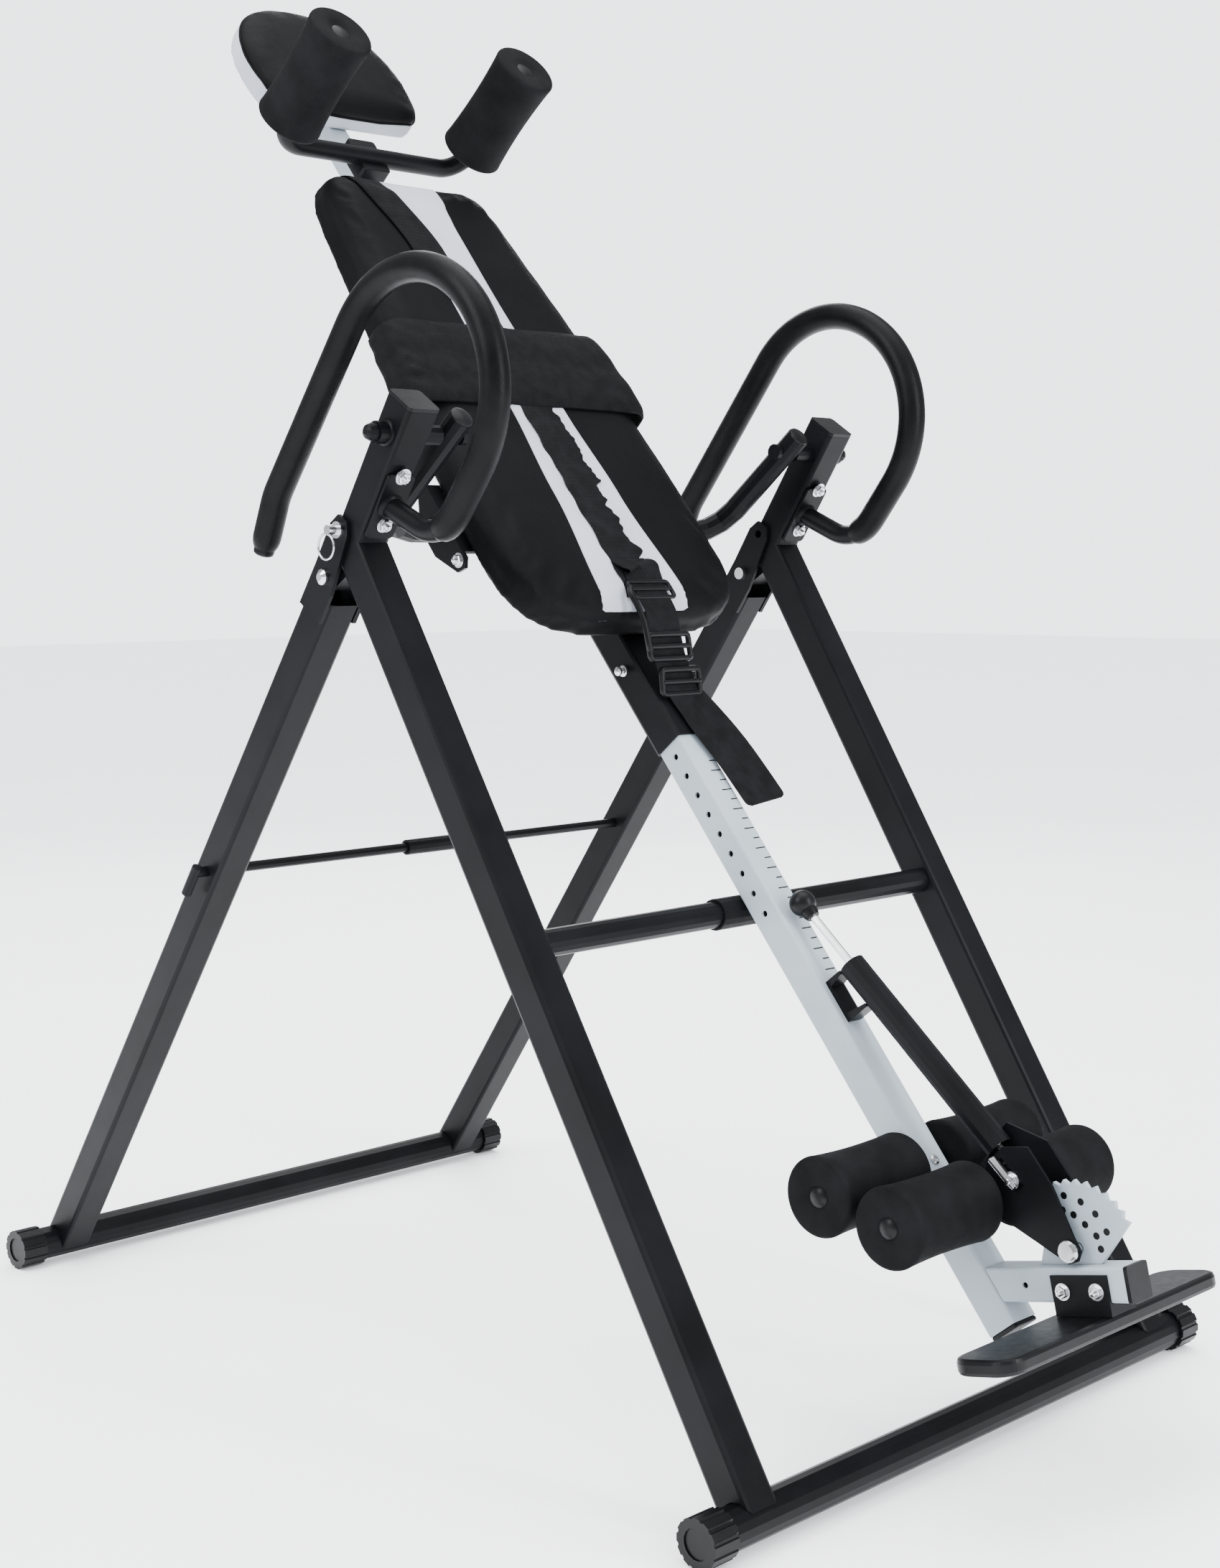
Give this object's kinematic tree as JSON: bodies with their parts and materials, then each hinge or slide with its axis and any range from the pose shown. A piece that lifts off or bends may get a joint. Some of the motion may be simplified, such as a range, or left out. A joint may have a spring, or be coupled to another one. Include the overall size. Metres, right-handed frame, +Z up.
{
  "type": "inversion table",
  "caption": "Folding A-frame inversion table with a padded tilting backrest, looped foam handlebars, foam shoulder and ankle rollers, and a toothed ankle clamp with a long lever.",
  "frame": {"origin": "centre of the footprint of the whole table on the floor", "axes": "+X towards the foot end, the way the user faces, +Y to the user's left, +Z up"},
  "size_m": [1.3274, 0.756, 1.5136],
  "materials": {
    "black_paint": "satin powder coat",
    "silver_paint": "satin pale grey paint",
    "chrome": "bright",
    "foam": "matte, open-cell skin",
    "plastic": "satin moulded",
    "leatherette": "fine grain, low sheen",
    "webbing": "woven nylon",
    "wood": "raw plywood",
    "rubber": "matte"
  },
  "bodies": {
    "front_frame": {"front_leg_left": "black_paint", "front_leg_right": "black_paint", "front_foot_cap_left": "plastic", "front_foot_cap_right": "plastic", "upright_cap_left": "plastic", "upright_cap_right": "plastic", "handlebar_left": "black_paint", "handlebar_right": "black_paint", "handlebar_grip_left": "foam", "handlebar_grip_right": "foam", "front_floor_tube": "black_paint", "cross_tube": "black_paint", "cross_tube_sleeve": "rubber"},
    "rear_frame": {"rear_leg_left": "black_paint", "rear_leg_right": "black_paint", "rear_foot_cap_left": "plastic", "rear_foot_cap_right": "plastic", "fold_bolt_left": "chrome", "fold_bolt_right": "chrome", "rear_floor_tube": "black_paint", "stop_rod": "black_paint", "stop_rod_sleeve": "rubber"},
    "left_lock_pin": {"lock_pin_left": "chrome"},
    "right_lock_pin": {"lock_pin_right": "chrome"},
    "bed": {"hanger_left": "black_paint", "hanger_right": "black_paint", "pivot_axle_left": "black_paint", "pivot_axle_right": "black_paint", "boom": "black_paint", "backrest_board": "wood", "backrest_cushion": "leatherette", "lumbar_pad": "leatherette", "strap": "webbing", "strap_buckle": "plastic"},
    "height_pull_pin": {"height_pin": "chrome"},
    "headrest": {"headrest_post": "silver_paint", "headrest_cushion": "leatherette", "shoulder_bar": "black_paint", "shoulder_foam_left": "foam", "shoulder_foam_right": "foam"},
    "leg_slide": {"adjust_tube": "silver_paint", "carrier_tube": "silver_paint", "carrier_cap": "plastic", "sector_plate": "silver_paint", "foot_plate": "plastic", "foot_plate_bracket": "black_paint", "rear_ankle_axle": "chrome", "lever_saddle": "black_paint"},
    "ankle_clamp": {"clamp_plate_left": "black_paint", "clamp_plate_right": "black_paint", "clamp_pivot_bolt": "chrome", "front_ankle_axle": "chrome", "lever_tube": "black_paint"},
    "clamp_release": {"release_rod": "chrome", "ball_knob": "plastic"},
    "left_rear_roller": {"rear_roller_left": "foam"},
    "right_rear_roller": {"rear_roller_right": "foam"},
    "left_front_roller": {"front_roller_left": "foam"},
    "right_front_roller": {"front_roller_right": "foam"}
  },
  "joints": [
    {"name": "rear_frame_fold", "type": "hinge", "parent": "front_frame", "child": "rear_frame", "pos_m": [-0.07121, 0, 0.824], "axis": [0, -1, 0], "range_deg": [0, 60]},
    {"name": "left_lock_pin_pull", "type": "slide", "parent": "rear_frame", "child": "left_lock_pin", "axis": [0, 1, 0], "range_m": [0, 0.015]},
    {"name": "right_lock_pin_pull", "type": "slide", "parent": "rear_frame", "child": "right_lock_pin", "axis": [0, -1, 0], "range_m": [0, 0.015]},
    {"name": "bed_tilt", "type": "hinge", "parent": "front_frame", "child": "bed", "pos_m": [0.02519, 0, 0.961], "axis": [0, -1, 0], "range_deg": [0, 85]},
    {"name": "height_pin_pull", "type": "slide", "parent": "bed", "child": "height_pull_pin", "axis": [0, -1, 0], "range_m": [0, 0.012], "stiffness_N_per_m": 600, "springref_m": -0.004},
    {"name": "headrest_height", "type": "slide", "parent": "bed", "child": "headrest", "axis": [-0.6341, 0, 0.7733], "range_m": [0, 0.05]},
    {"name": "leg_length", "type": "slide", "parent": "bed", "child": "leg_slide", "axis": [-0.6341, 0, 0.7733], "range_m": [0, 0.195]},
    {"name": "ankle_clamp_swing", "type": "hinge", "parent": "leg_slide", "child": "ankle_clamp", "pos_m": [0.59779, 0, 0.218], "axis": [0, 1, 0], "range_deg": [0, 40]},
    {"name": "clamp_release_pull", "type": "slide", "parent": "ankle_clamp", "child": "clamp_release", "axis": [-0.7637, 0, 0.6456], "range_m": [0, 0.015], "stiffness_N_per_m": 500, "springref_m": -0.004},
    {"name": "left_rear_roller_spin", "type": "hinge", "parent": "leg_slide", "child": "left_rear_roller", "pos_m": [0.41794, 0, 0.25883], "axis": [0, 1, 0], "continuous": true},
    {"name": "right_rear_roller_spin", "type": "hinge", "parent": "leg_slide", "child": "right_rear_roller", "pos_m": [0.41794, 0, 0.25883], "axis": [0, 1, 0], "continuous": true},
    {"name": "left_front_roller_spin", "type": "hinge", "parent": "ankle_clamp", "child": "left_front_roller", "pos_m": [0.49879, 0, 0.247], "axis": [0, 1, 0], "continuous": true},
    {"name": "right_front_roller_spin", "type": "hinge", "parent": "ankle_clamp", "child": "right_front_roller", "pos_m": [0.49879, 0, 0.247], "axis": [0, 1, 0], "continuous": true}
  ]
}
